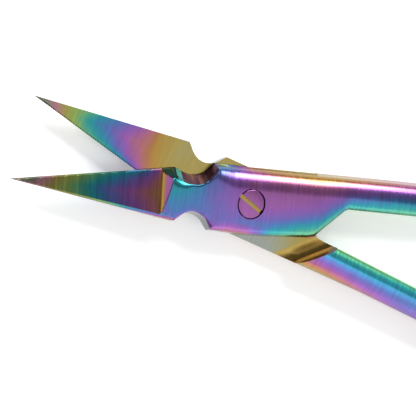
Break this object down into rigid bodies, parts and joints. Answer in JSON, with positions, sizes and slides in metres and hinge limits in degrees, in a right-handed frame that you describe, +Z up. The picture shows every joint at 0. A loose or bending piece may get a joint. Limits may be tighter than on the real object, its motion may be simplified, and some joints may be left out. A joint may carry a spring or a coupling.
{
  "type": "fine-point shears",
  "caption": "Small fine-point shears with an iridescent coat: two forged halves on a flush slotted pivot screw, one blade micro-serrated, with finger rings and a stop bumper.",
  "frame": {"origin": "on the pivot axis, in the plane the shears rest on, which the pivot screw's end face lies in", "axes": "+X from the front half's tip towards its ring, +Z up along the pivot axis"},
  "size_m": [0.1246, 0.0766, 0.0044],
  "materials": {
    "front_coat": "rainbow vapour coat over satin steel",
    "back_coat": "rainbow vapour coat over brushed steel",
    "screw_coat": "rainbow vapour coat over satin steel",
    "rest_coat": "rainbow vapour coat over satin steel",
    "nylon": "natural nylon",
    "rubber": "soft matt rubber"
  },
  "bodies": {
    "front": {"front_half": "front_coat", "stop_bumper": "rubber", "finger_rest": "rest_coat", "finger_ring_insert": "rubber", "glide_washer": "nylon"},
    "back": {"back_half": "back_coat", "thumb_ring_insert": "rubber"},
    "screw": {"pivot_screw": "screw_coat"}
  },
  "joints": [
    {"name": "pivot", "type": "hinge", "parent": "front", "child": "back", "pos_m": [0, 0, 0], "axis": [0, 0, 1], "range_deg": [-50, 18.9]},
    {"name": "tension_screw", "type": "hinge", "parent": "back", "child": "screw", "pos_m": [0, 0, 0], "axis": [0, 0, 1], "range_deg": [-45, 45]}
  ]
}
